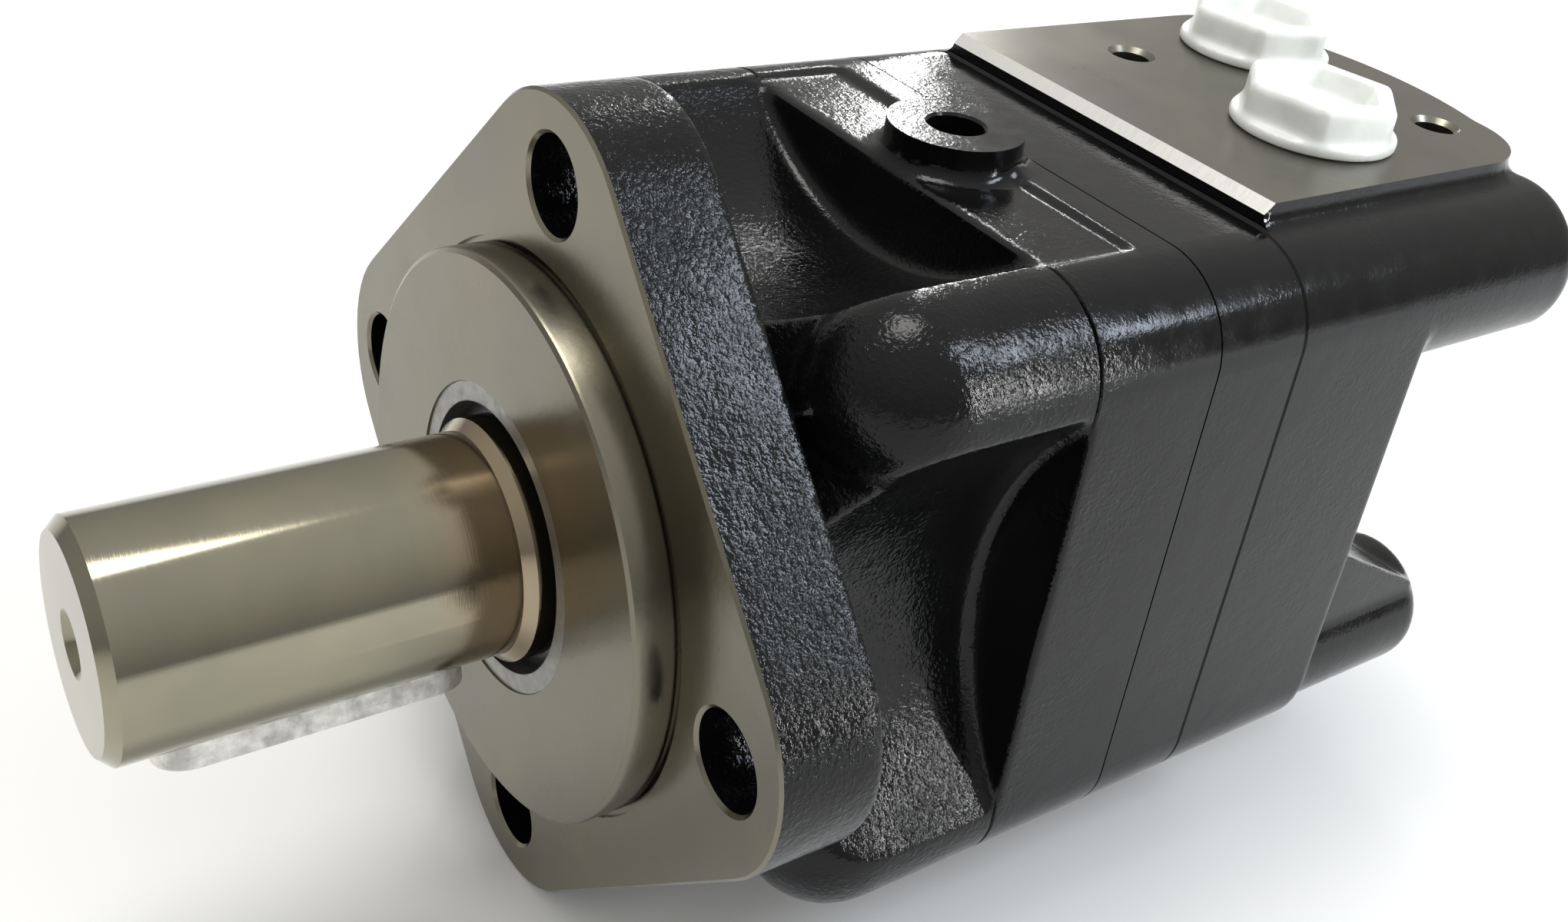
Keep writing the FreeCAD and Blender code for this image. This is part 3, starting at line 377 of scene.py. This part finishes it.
def rear_casting():
    """The rear port housing: blended cast skin first, then everything that is machined."""
    front = RING_Y1 - SPARE
    skin = solid(add_prism, rounded_square(BODY_HALF, CORNER_R), "y", front, BLOCK_END_Y)
    skin.name = "rear_casting"
    low, wide = -BODY_HALF - 12, 70
    waist = [(WAIST_Y, low), (WAIST_Y, WAIST_DEPTH - BODY_HALF), (BLOCK_END_Y + 1, -BODY_HALF - 0.5),
             (BLOCK_END_Y + 1, low)]
    combine(skin, solid(add_prism, waist, "x", -wide, wide))

    # the block under the pad: rounded rear corners, then one wide arc across the rear
    corner = [(math.cos(math.pi / 2 * i / 10), math.sin(math.pi / 2 * i / 10)) for i in range(11)]
    pad_floor, pad_roof, r = 24, PAD_Z + 6, 15
    cx, cy = PAD_HALF_X - r, PAD_Y1 - 4 - r
    outline = ([(PAD_HALF_X, PAD_Y0)] + [(cx + r * a, cy + r * b) for a, b in corner]
               + [(-cx - r * b, cy + r * a) for a, b in corner] + [(-PAD_HALF_X, PAD_Y0)])
    join(skin, solid(add_prism, outline, "z", pad_floor, pad_roof))
    arc_r, arc_half_deg = 62, 22.7
    arc = [(arc_r * math.sin(a), PAD_Y1 - arc_r + arc_r * math.cos(a))
           for a in (math.radians(arc_half_deg * i / 8) for i in range(8, -9, -1))]
    arc += [(arc[-1][0], 150), (arc[0][0], 150)]
    join(skin, solid(add_prism, arc, "z", pad_floor, pad_roof))
    for side in (1, -1):
        x = side * CORNER_C
        upper = solid(add_loft, rounded_bar(CORNER_R, front, UPPER_LUG_END_Y, x, CORNER_C, LUG_END_R))
        below = rectangle(-wide, wide, 0, UPPER_LUG_FLOOR_Z)
        combine(upper, solid(add_prism, below, "y", BLOCK_END_Y, PAD_Y1 + 9))
        join(skin, upper)
        join(skin, solid(add_loft, rounded_bar(LOWER_LUG_R, RING_Y1 + 3, LOWER_LUG_END_Y,
                                               x, -CORNER_C, LUG_END_R)))
        gusset = [(110, -10), (BLOCK_END_Y, -10), (159, -27), (159, -37), (110, -37)]
        x0, x1 = sorted((side * 28, side * 46.5))
        join(skin, solid(add_prism, gusset, "x", x0, x1))
    core = [(front, 0), (front, CORE_R), (134, CORE_R), (140, CORE_R - 4), (146, 22),
            (147.5, 12), (147.5, 0)]
    join(skin, solid(add_turned, core))
    wedge = [(125, -12), (144, -12), (150, 5), (164, 30), (164, 40), (125, 40)]
    join(skin, solid(add_prism, wedge, "x", -20, 20))
    blend_solids(skin, VOXEL, REAR_FILLET, SMOOTHING)
    scoop_r, scoop_rise = 60, 8
    scoop = circle(0, -BODY_HALF + scoop_rise - scoop_r, scoop_r, 160)
    combine(skin, solid(add_prism, scoop, "y", WAIST_Y, 159))

    start = RING_Y1 + 1.0
    plate = [(y, rounded_square(BODY_HALF + grow, CORNER_R + grow))
             for y, grow in ((RING_Y1, -WIDE_CHAMFER), (start, 1.0 - WIDE_CHAMFER))]
    pad_room = [(y, rounded_square(CLEAR, 20)) for y in (start + 0.05, 190)]
    combine(skin, solid(add_loft, plate + pad_room), "INTERSECT")
    combine(skin, solid(add_prism, rectangle(-wide, wide, 80, 190), "z", PAD_Z, CLEAR))
    edge = [(PAD_Y0 - 1.2, PAD_Z + 1), (PAD_Y0 - 1.2, PAD_Z - 3.2), (PAD_Y0 + 3.0, PAD_Z + 1)]
    combine(skin, solid(add_prism, edge, "x", -wide, wide))

    plate_y, groove_y = RING_Y1 + PLATE_THICK, RING_Y1 + GROOVE_DEPTH
    chamber = [(RING_Y1 - 1, 0), (RING_Y1 - 1, GROOVE_R1), (RING_Y1, GROOVE_R1), (groove_y, GROOVE_R1),
               (groove_y, GROOVE_R0), (RING_Y1, GROOVE_R0), (RING_Y1, PLATE_R), (plate_y, PLATE_R),
               (plate_y, VALVE_ROOM_R), (VALVE_ROOM_END_Y, VALVE_ROOM_R),
               (VALVE_ROOM_END_Y, SPRING_ROOM_R), (SPRING_ROOM_END_Y, SPRING_ROOM_R),
               (SPRING_ROOM_END_Y, 0)]
    combine(skin, solid(add_turned, chamber, 160))
    for x, z in BOLTS:
        combine(skin, stepped_hole(x, z, BOLT_HOLE_R, BOLT_WELL_R, RING_Y1 - 1, BOLT_SEAT_Y,
                                   UPPER_LUG_END_Y + 1))
    for x, y in PORTS:
        combine(skin, flared_hole(x, y, PORT_R, PAD_Z, PORT_DEPTH, 1.2))
    for x, y in PAD_SCREWS:
        combine(skin, flared_hole(x, y, PAD_SCREW_R, PAD_Z, PAD_SCREW_DEPTH, 0.9))
    for x in (CHECK_X, -CHECK_X):
        combine(skin, stepped_hole(x, 0, CHECK_BALL_ROOM_R, CHECK_PLUG_R, CHECK_BALL_Y - 2.6,
                                   CHECK_PLUG_Y, BLOCK_END_Y + 1))
    return skin


def hexagon(across, x, y):
    """The outline of a plug's hexagon, `across` flats wide."""
    r = across / math.sqrt(3)
    angles = [math.radians(PLUG_HEX_TURN_DEG + 60 * i) for i in range(6)]
    return [(x + r * math.cos(a), y + r * math.sin(a)) for a in angles]


def transport_plug(name, x, y):
    """A moulded hexagon cap with a wide rim, a bowl in its top and a stem in the port."""
    plug = solid(add_prism, circle(x, y, PLUG_RIM_R), "z", PAD_Z + 0.05, PAD_Z + 2.0)
    plug.name = name
    outline = hexagon(PLUG_HEX, x, y)
    head = solid(add_loft, [(PAD_Z + 1, outline), (PAD_Z + 7.1, outline),
                            (PAD_Z + 8.1, hexagon(PLUG_HEX - 1.8, x, y))], "z")
    round_r = PLUG_RIM_R - 0.7
    combine(head, solid(add_prism, circle(x, y, round_r), "z", PAD_Z - 1, PAD_Z + 11), "INTERSECT")
    join(plug, head)
    join(plug, solid(add_prism, circle(x, y, PORT_R - 0.1), "z", PAD_Z - PLUG_STEM, PAD_Z + 1))
    unite(plug, PLUG_VOXEL)
    bowl = [(PAD_Z + 4.0, hexagon(15.2, x, y)), (PAD_Z + 10, hexagon(18.4, x, y))]
    combine(plug, solid(add_loft, bowl, "z"))
    blend_solids(plug, PLUG_VOXEL, 0.4, 4)
    return plug


def shade(obj, angle=28):
    """Smooth shading with sharp edges kept at machined corners."""
    obj.data.shade_smooth()
    bm = bmesh.new()
    bm.from_mesh(obj.data)
    limit = math.radians(angle)
    for e in bm.edges:
        if len(e.link_faces) == 2 and e.calc_face_angle(0) > limit:
            e.smooth = False
    bm.to_mesh(obj.data)
    bm.free()


def finish_faces(obj, materials, rule):
    """Gives each face the material whose index the rule returns for its centre and normal, in mm."""
    obj.data.materials.clear()
    for m in materials:
        obj.data.materials.append(m)
    for p in obj.data.polygons:
        p.material_index = rule(p.center / MM, p.normal)


def front_rule(c, n):
    """Paint, except the machined flange face, pilot, bores and parting face."""
    reach = math.hypot(c.x, c.z)
    if c.y < 0.95 and n.y < -0.5 or c.y < 0.95 and reach < PILOT_R + 1.2:
        return 1
    if reach < 46 and (c.y < 12 and reach < 30 or c.y > RING_Y0 - 0.2):
        return 1
    return 0


def rear_rule(c, n):
    """Paint, except the milled pad with its holes and the chamfer at its front, which gets a painted
    highlight.
    """
    on_pad = c.z > PAD_Z - 0.01 and n.z > 0.5
    # the pad's front chamfer, which takes the painted highlight material
    on_painted_highlight_chamfer = c.y < PAD_Y0 + 2.2 and c.z > PAD_Z - 2.6 and n.y < -0.3 and n.z > 0.3
    screw = any(math.hypot(c.x - x, c.y - y) < r + 1.3 and c.z > PAD_Z - 16 for (x, y), r in
                [(p, PORT_R) for p in PORTS] + [(p, PAD_SCREW_R) for p in PAD_SCREWS])
    return 2 if on_painted_highlight_chamfer else 1 if on_pad or screw else 0


# ---------------------------------------------------------------- materials

class Shader:
    """A principled material and short ways to add the nodes that feed it."""

    def __init__(self, name):
        self.material = bpy.data.materials.new(name)
        self.material.use_nodes = True
        self.tree = self.material.node_tree
        self.bsdf = self.tree.nodes["Principled BSDF"]
        self.place = self.node("ShaderNodeTexCoord").outputs["Object"]

    def node(self, kind, **settings):
        node = self.tree.nodes.new(kind)
        for key, value in settings.items():
            setattr(node, key, value)
        return node

    def feed(self, socket, value):
        if isinstance(value, bpy.types.NodeSocket):
            self.tree.links.new(value, socket)
        elif isinstance(value, tuple) and len(value) == 3 and socket.type == "RGBA":
            socket.default_value = (*value, 1)
        else:
            socket.default_value = value

    def set(self, **inputs):
        names = {"colour": "Base Color", "roughness": "Roughness", "metallic": "Metallic",
                 "normal": "Normal", "specular": "Specular IOR Level",
                 "subsurface": "Subsurface Weight", "subsurface_radius": "Subsurface Radius",
                 "subsurface_scale": "Subsurface Scale"}
        for key, value in inputs.items():
            self.feed(self.bsdf.inputs[names[key]], value)

    def stretch(self, x, y, z):
        node = self.node("ShaderNodeVectorMath", operation="MULTIPLY")
        self.feed(node.inputs[0], self.place)
        node.inputs[1].default_value = (x, y, z)
        return node.outputs[0]

    def noise(self, scale, detail=2.0, roughness=0.5, distortion=0.0, vector=None):
        node = self.node("ShaderNodeTexNoise")
        self.feed(node.inputs["Vector"], vector or self.place)
        node.inputs["Scale"].default_value = scale
        node.inputs["Detail"].default_value = detail
        node.inputs["Roughness"].default_value = roughness
        node.inputs["Distortion"].default_value = distortion
        return node.outputs["Fac"]

    def remap(self, value, low, high, to_low=0.0, to_high=1.0):
        node = self.node("ShaderNodeMapRange")
        for socket, number in zip(node.inputs, (value, low, high, to_low, to_high)):
            self.feed(socket, number)
        return node.outputs[0]

    def maths(self, operation, a, b=0.0):
        node = self.node("ShaderNodeMath", operation=operation)
        self.feed(node.inputs[0], a)
        self.feed(node.inputs[1], b)
        return node.outputs[0]

    def mix(self, factor, a, b):
        node = self.node("ShaderNodeMix", data_type="RGBA")
        self.feed(node.inputs["Factor"], factor)
        colour_a, colour_b = node.inputs[6], node.inputs[7]
        self.feed(colour_a, a)
        self.feed(colour_b, b)
        return node.outputs[2]

    def bump(self, height, distance, normal=None, strength=1.0):
        node = self.node("ShaderNodeBump")
        self.feed(node.inputs["Height"], height)
        node.inputs["Distance"].default_value = distance
        self.feed(node.inputs["Strength"], strength)
        if normal is not None:
            self.feed(node.inputs["Normal"], normal)
        return node.outputs[0]

    def split(self):
        """The point's x, y and z, in metres."""
        node = self.node("ShaderNodeSeparateXYZ")
        self.feed(node.inputs[0], self.place)
        return node.outputs

    def hypotenuse(self, a, b):
        return self.maths("SQRT", self.maths("ADD", self.maths("MULTIPLY", a, a),
                                             self.maths("MULTIPLY", b, b)))

    def shaft_radius(self):
        """How far the point is from the shaft axis, in metres."""
        x, _, z = self.split()
        return self.hypotenuse(x, z)

    def rings(self, radius, pitch):
        """Fine waves a pitch apart, from a distance in metres."""
        return self.maths("SINE", self.maths("MULTIPLY", radius, 2 * math.pi / pitch))


def black_paint():
    """Glossy black enamel over a sand-cast skin: coarser on the front casting, smoother behind."""
    s = Shader("black_paint")
    y = s.split()[1]
    coarse = s.remap(y, 0.03, 0.07, 1.0, 0.22)
    patch = s.remap(s.noise(45, 3), 0.42, 0.62)
    strength = s.maths("MULTIPLY", coarse, s.remap(patch, 0, 1, 0.45, 1.0))
    swell = s.bump(s.noise(130, 2, 0.5), 0.00022, None, s.remap(coarse, 0, 1, 0.25, 1.0))
    peel = s.bump(s.noise(430, 3, 0.6), 0.00010, swell, strength)
    grit = s.bump(s.maths("POWER", s.noise(1300, 2, 0.6), 3.0), 0.00030, peel, strength)
    s.set(colour=s.mix(s.noise(90, 4), (0.0016, 0.0017, 0.0019), (0.0045, 0.0045, 0.005)),
          roughness=s.remap(s.noise(260, 4), 0.3, 0.7, 0.09, 0.19),
          specular=0.24, normal=grit)
    return s.material


def faced_steel(name, tone, rough, ring_pitch):
    """Face-turned iron: fine rings about the shaft axis, a brown cast and soft stains."""
    s = Shader(name)
    turns = s.maths("MULTIPLY", s.rings(s.shaft_radius(), ring_pitch), 0.5)
    warm = tuple(c * f for c, f in zip(tone, (1.03, 0.97, 0.87)))
    cool = tuple(c * f for c, f in zip(tone, (0.86, 0.87, 0.88)))
    stain = s.remap(s.noise(28, 4, 0.55, 0.6), 0.3, 0.7)
    s.set(colour=s.mix(stain, warm, cool), metallic=1.0,
          roughness=s.remap(s.noise(60, 5, 0.6), 0.3, 0.7, rough - 0.05, rough + 0.07),
          normal=s.bump(turns, 0.0000012, s.bump(s.noise(900, 3), 0.000012)))
    return s.material


def milled_steel():
    """Face-milled pad: overlapping shallow arcs of the cutter and a warm grey tone."""
    s = Shader("milled_steel")
    x, y, _ = s.split()
    sweep = s.maths("ADD", s.maths("MULTIPLY", y, 0.35), 0.09)
    arcs = s.rings(s.hypotenuse(x, sweep), 0.0011)
    stain = s.remap(s.noise(34, 4, 0.55, 0.8), 0.32, 0.68)
    s.set(colour=s.mix(stain, (0.215, 0.203, 0.165), (0.17, 0.163, 0.142)), metallic=1.0,
          roughness=s.remap(s.noise(70, 4), 0.3, 0.7, 0.27, 0.37),
          normal=s.bump(arcs, 0.0000010, s.bump(s.noise(800, 3), 0.000012)))
    return s.material


def chamfer_painted_highlight():
    """The cut chamfer along the pad's front edge, bare metal coloured near-white as a painted
    highlight.
    """
    s = Shader("chamfer_painted_highlight")
    marks = s.noise(1.0, 3, 0.6, 0, s.stretch(900, 250, 250))
    # near-white colours, far lighter than the milled pad's steel: a painted highlight on the chamfer
    s.set(colour=s.mix(marks, (0.86, 0.85, 0.82), (0.66, 0.65, 0.62)), metallic=1.0,
          roughness=s.remap(marks, 0.3, 0.7, 0.3, 0.45), normal=s.bump(marks, 0.00003))
    return s.material


def ground_steel():
    """The ground shaft: fine grinding lines round it, a straw tint and heat colour near the seal."""
    s = Shader("ground_steel")
    y = s.split()[1]
    lines = s.noise(1.0, 3, 0.7, 0, s.stretch(60, 9000, 60))
    cloud = s.remap(s.noise(50, 3), 0.3, 0.7)
    base = s.mix(cloud, (0.30, 0.28, 0.205), (0.25, 0.235, 0.18))
    straw = s.maths("MULTIPLY", s.remap(y, -0.022, -0.011), s.remap(y, -0.004, -0.0105))
    s.set(colour=s.mix(s.maths("MULTIPLY", straw, 0.55), base, (0.40, 0.26, 0.15)), metallic=1.0,
          roughness=s.remap(lines, 0.3, 0.7, 0.07, 0.14), normal=s.bump(lines, 0.0000035))
    return s.material


def key_steel():
    """The key: dull light grey, sawn and mottled."""
    s = Shader("key_steel")
    mottle = s.remap(s.noise(300, 5, 0.7), 0.35, 0.65)
    s.set(colour=s.mix(mottle, (0.78, 0.77, 0.74), (0.46, 0.45, 0.43)), metallic=0.85,
          roughness=s.remap(s.noise(500, 4), 0.3, 0.7, 0.38, 0.6),
          normal=s.bump(s.noise(420, 4, 0.7), 0.00005))
    return s.material


def white_plastic():
    """Natural polyethylene: milky, faintly uneven, with a soft sheen."""
    s = Shader("white_plastic")
    cloud = s.remap(s.noise(110, 3), 0.35, 0.65)
    s.set(colour=s.mix(cloud, (0.86, 0.875, 0.85), (0.74, 0.76, 0.73)),
          roughness=s.remap(s.noise(260, 3), 0.3, 0.7, 0.3, 0.42), subsurface=0.45,
          subsurface_radius=(1.0, 1.0, 0.9), subsurface_scale=0.002,
          normal=s.bump(s.noise(220, 2), 0.00012))
    return s.material


def black_rubber():
    """Seals and O-rings: dull, nearly black, faintly grained."""
    s = Shader("black_rubber")
    s.set(colour=s.mix(s.noise(300, 4), (0.012, 0.012, 0.012), (0.035, 0.035, 0.034)),
          roughness=s.remap(s.noise(700, 3), 0.3, 0.7, 0.5, 0.72),
          normal=s.bump(s.noise(900, 4), 0.00004))
    return s.material


def seal_ring():
    """The dust seal: a grey pressed-steel case outside, a black lip inside."""
    s = Shader("seal_ring")
    case = s.remap(s.shaft_radius(), 0.0196, 0.0199)
    fleck = s.noise(500, 4)
    case_tone = s.mix(fleck, (0.33, 0.32, 0.30), (0.22, 0.22, 0.21))
    s.set(colour=s.mix(case, (0.012, 0.012, 0.012), case_tone), metallic=case,
          roughness=s.remap(fleck, 0.3, 0.7, 0.32, 0.5),
          normal=s.bump(fleck, 0.00002))
    return s.material


def steel(name, bright, dark, rough, scale):
    """A machined inner part: its own tone, fine tool marks and a mottled sheen."""
    s = Shader(name)
    marks = s.noise(1.0, 3, 0.6, 0, s.stretch(scale, scale * 6, scale))
    s.set(colour=s.mix(s.noise(scale * 0.4, 4), bright, dark), metallic=1.0,
          roughness=s.remap(marks, 0.3, 0.7, rough - 0.07, rough + 0.08),
          normal=s.bump(marks, 0.00001))
    return s.material


paint = black_paint()
flange_face = faced_steel("faced_steel", (0.195, 0.185, 0.15), 0.24, 0.00028)
slot_materials = {
    "black_paint": paint,
    "ground_steel": ground_steel(),
    "key_steel": key_steel(),
    "white_plastic": white_plastic(),
    "black_rubber": black_rubber(),
    "zinc_steel": steel("zinc_steel", (0.62, 0.63, 0.66), (0.45, 0.46, 0.50), 0.30, 220),
    "cage_steel": steel("cage_steel", (0.36, 0.35, 0.34), (0.24, 0.235, 0.23), 0.42, 260),
    "plain_steel": steel("plain_steel", (0.47, 0.46, 0.45), (0.33, 0.325, 0.32), 0.36, 240),
    "hardened_steel": steel("hardened_steel", (0.56, 0.55, 0.53), (0.42, 0.415, 0.41), 0.22, 300),
}
for part in frame["record"]["subparts"]:
    materials = nodes[part["node"]].data.materials
    materials.clear()
    materials.append(slot_materials[part["material_slot"]])
nodes["dust_seal"].data.materials[0] = seal_ring()

front = front_casting()
finish_faces(front, [paint, flange_face], front_rule)
rear = rear_casting()
# the third material is the chamfer's painted highlight
finish_faces(rear, [paint, milled_steel(), chamfer_painted_highlight()], rear_rule)
plugs = [transport_plug("plug_" + letter, x, y) for letter, (x, y) in zip("ab", PORTS)]
for plug in plugs:
    finish_faces(plug, [slot_materials["white_plastic"]], lambda c, n: 0)
for piece, node, body, slot in ((front, "front_housing", "housing", "black_paint"),
                                (rear, "rear_housing", "housing", "black_paint"),
                                (plugs[0], "port_plug_a", "plug_a", "white_plastic"),
                                (plugs[1], "port_plug_b", "plug_b", "white_plastic")):
    shade(piece)
    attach(piece, body)
    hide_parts(node)


# ---------------------------------------------------------------- stage

def camera():
    """The camera stands above the motor's front right corner, tipped a little to the left."""
    azimuth, elevation, roll = math.radians(49.33), math.radians(29.21), math.radians(9.91)
    back = Vector((math.sin(azimuth) * math.cos(elevation),
                   -math.cos(azimuth) * math.cos(elevation), math.sin(elevation)))
    level = Vector((math.cos(azimuth), math.sin(azimuth), 0))
    right = math.cos(roll) * level + math.sin(roll) * back.cross(level)
    up = back.cross(right)
    target, distance = Vector((-3.72, 60.0, 9.12)), 269.85
    place = (target + back * distance) * MM
    data = bpy.data.cameras.new("camera")
    data.sensor_width, data.lens = 36.0, 38.27
    data.shift_x, data.shift_y = -0.049, -0.049
    data.clip_start = 0.01
    obj = bpy.data.objects.new("camera", data)
    obj.matrix_world = Matrix.Translation(place) @ Matrix((right, up, back)).transposed().to_4x4()
    bpy.context.scene.collection.objects.link(obj)
    bpy.context.scene.camera = obj


def softbox(name, direction, distance, width, height, power, colour=(1, 1, 1)):
    """A rectangular area light that faces the middle of the motor."""
    data = bpy.data.lights.new(name, "AREA")
    data.shape, data.size, data.size_y = "RECTANGLE", width, height
    data.energy, data.color = power, colour
    obj = bpy.data.objects.new(name, data)
    direction = Vector(direction).normalized()
    obj.location = Vector((0, 0.055, 0)) + direction * distance
    obj.rotation_mode = "QUATERNION"
    obj.rotation_quaternion = direction.to_track_quat("Z", "Y")
    bpy.context.scene.collection.objects.link(obj)


def floor():
    """A plain pale floor, level with the lowest point of the motor."""
    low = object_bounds()[0].z
    bm = bmesh.new()
    bmesh.ops.create_grid(bm, x_segments=8, y_segments=8, size=6000)
    plane = mesh_object("floor", bm)
    plane.location.z = low
    s = Shader("floor")
    s.set(colour=s.mix(s.noise(3, 3), (0.86, 0.86, 0.855), (0.90, 0.90, 0.895)), roughness=0.75,
          specular=0.2)
    plane.data.materials.append(s.material)
    plane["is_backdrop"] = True


def studio():
    """A soft grey room, brighter overhead, with one large lamp and three narrow ones."""
    world = bpy.data.worlds.new("studio")
    world.use_nodes = True
    tree = world.node_tree
    background = tree.nodes["Background"]
    direction = tree.nodes.new("ShaderNodeTexCoord")
    height = tree.nodes.new("ShaderNodeSeparateXYZ")
    sky = tree.nodes.new("ShaderNodeValToRGB")
    tree.links.new(direction.outputs["Generated"], height.inputs[0])
    tree.links.new(height.outputs["Z"], sky.inputs[0])
    tree.links.new(sky.outputs[0], background.inputs["Color"])
    stops = sky.color_ramp.elements
    horizon, zenith, middle = stops[0], stops[1], stops.new(0.35)
    for stop, place, colour in ((horizon, 0.02, (0.40, 0.40, 0.41)),
                                (zenith, 0.9, (0.98, 0.97, 0.93)),
                                (middle, 0.35, (0.62, 0.61, 0.57))):
        stop.position, stop.color = place, (*colour, 1)
    background.inputs["Strength"].default_value = 0.95
    bpy.context.scene.world = world
    softbox("overhead", (-0.15, -0.1, 1), 1.2, 0.5, 0.5, 6.5, (1.0, 0.985, 0.95))
    softbox("rear_right_strip", (0.80, 0.58, 0.07), 1.0, 0.03, 0.8, 4.5)
    softbox("rear_left_strip", (-0.68, 0.57, 0.46), 1.1, 0.02, 0.7, 1.5)
    softbox("corner_light", (0.50, 0.58, 0.66), 1.1, 0.14, 0.5, 4.4, (0.78, 0.87, 1.0))


camera()
floor()
studio()
bpy.context.scene.view_settings.view_transform = "Standard"
